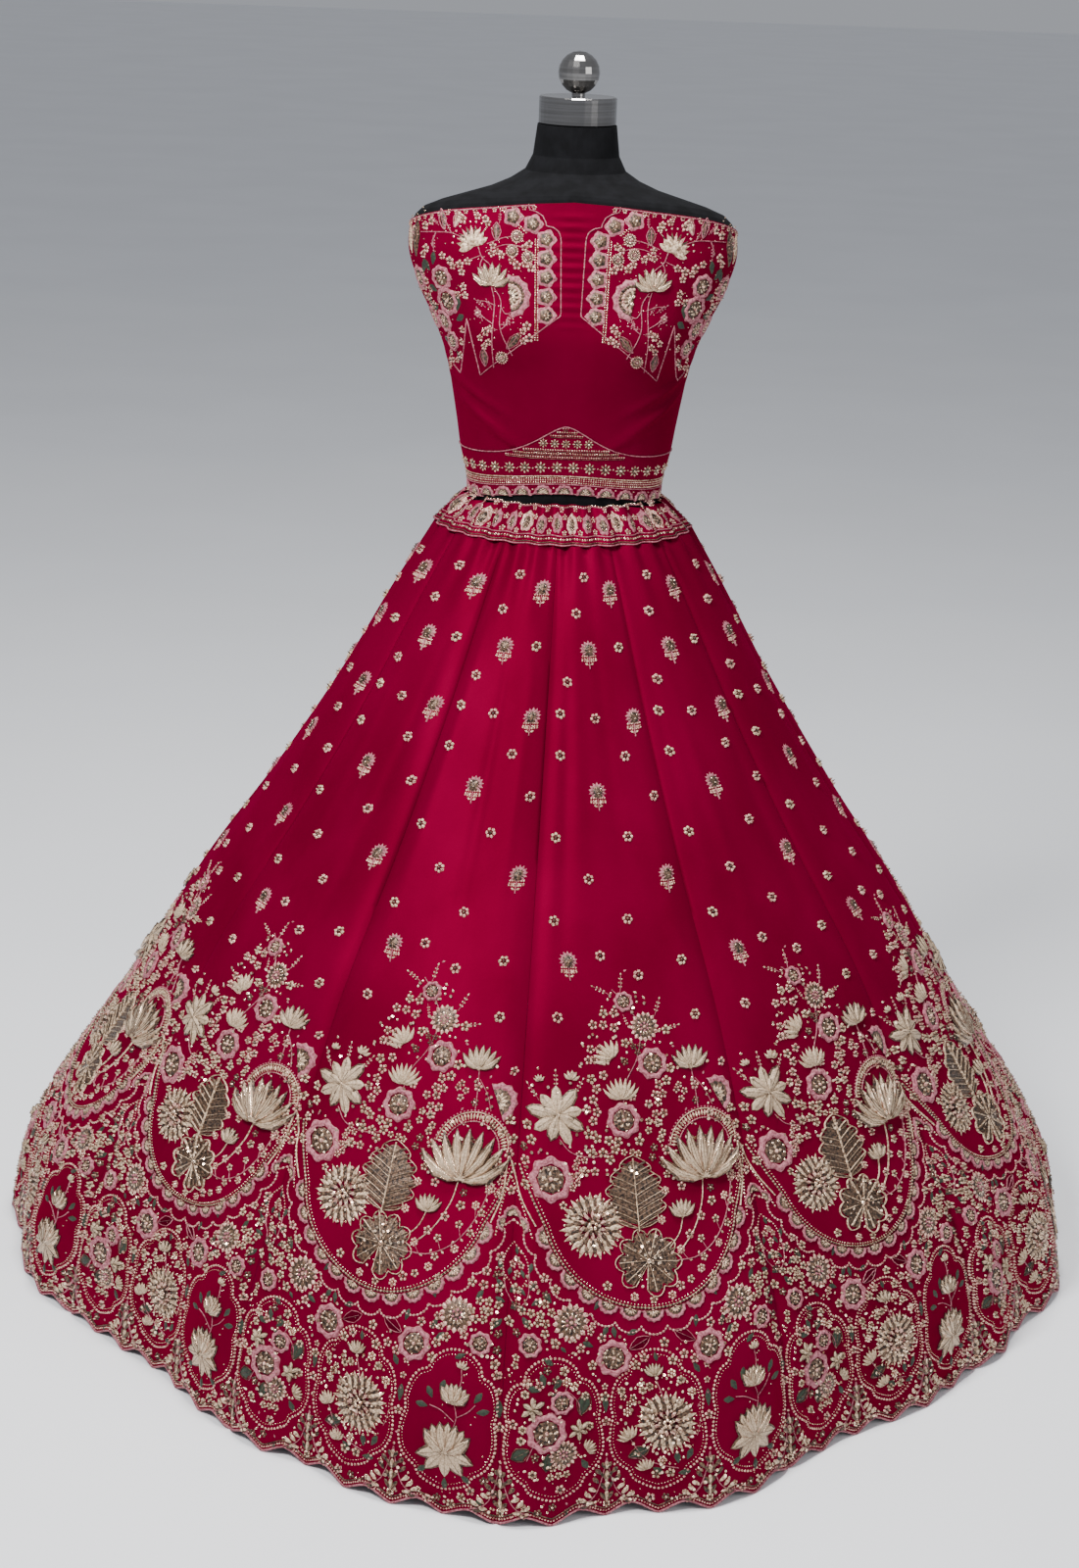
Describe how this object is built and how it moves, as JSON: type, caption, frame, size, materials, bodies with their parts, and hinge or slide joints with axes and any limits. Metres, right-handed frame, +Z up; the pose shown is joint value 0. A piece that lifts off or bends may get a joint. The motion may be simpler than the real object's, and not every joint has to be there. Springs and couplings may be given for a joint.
{
  "type": "lehenga choli on dress form",
  "caption": "Flared gored skirt with a gathered waistband and scalloped hem, and an off-shoulder blouse with a peaked belt, on a limbless dress form.",
  "frame": {"origin": "centre of the base's underside, on the floor that the skirt's hem also touches", "axes": "+Z up along the form's axis; -Y is the garment's front, +X the viewer's right as it is faced"},
  "size_m": [1.4669, 1.4639, 1.581],
  "materials": {
    "silk": "deep raspberry satin silk, densely embroidered",
    "worked_silk": "raspberry silk under close zari and bead work",
    "zari": "padded pale gold zari petals",
    "jersey": "matte black stretch jersey",
    "steel": "polished steel",
    "enamel": "black enamel, satin"
  },
  "bodies": {
    "root": {"kali_01": "silk", "kali_02": "silk", "kali_03": "silk", "kali_04": "silk", "kali_05": "silk", "kali_06": "silk", "kali_07": "silk", "kali_08": "silk", "kali_09": "silk", "kali_10": "silk", "kali_11": "silk", "kali_12": "silk", "lotus_01": "zari", "lotus_02": "zari", "lotus_03": "zari", "lotus_04": "zari", "lotus_05": "zari", "lotus_06": "zari", "lotus_07": "zari", "lotus_08": "zari", "lotus_09": "zari", "lotus_10": "zari", "lotus_11": "zari", "lotus_12": "zari", "waistband_front": "worked_silk", "waistband_back": "worked_silk", "choli_front": "silk", "choli_back_left": "silk", "choli_back_right": "silk", "choli_belt_front": "worked_silk", "choli_belt_back_left": "worked_silk", "choli_belt_back_right": "worked_silk", "form_torso": "jersey", "form_neck_cap": "steel", "form_knob": "steel", "form_pole": "steel", "form_base": "enamel"}
  },
  "joints": []
}
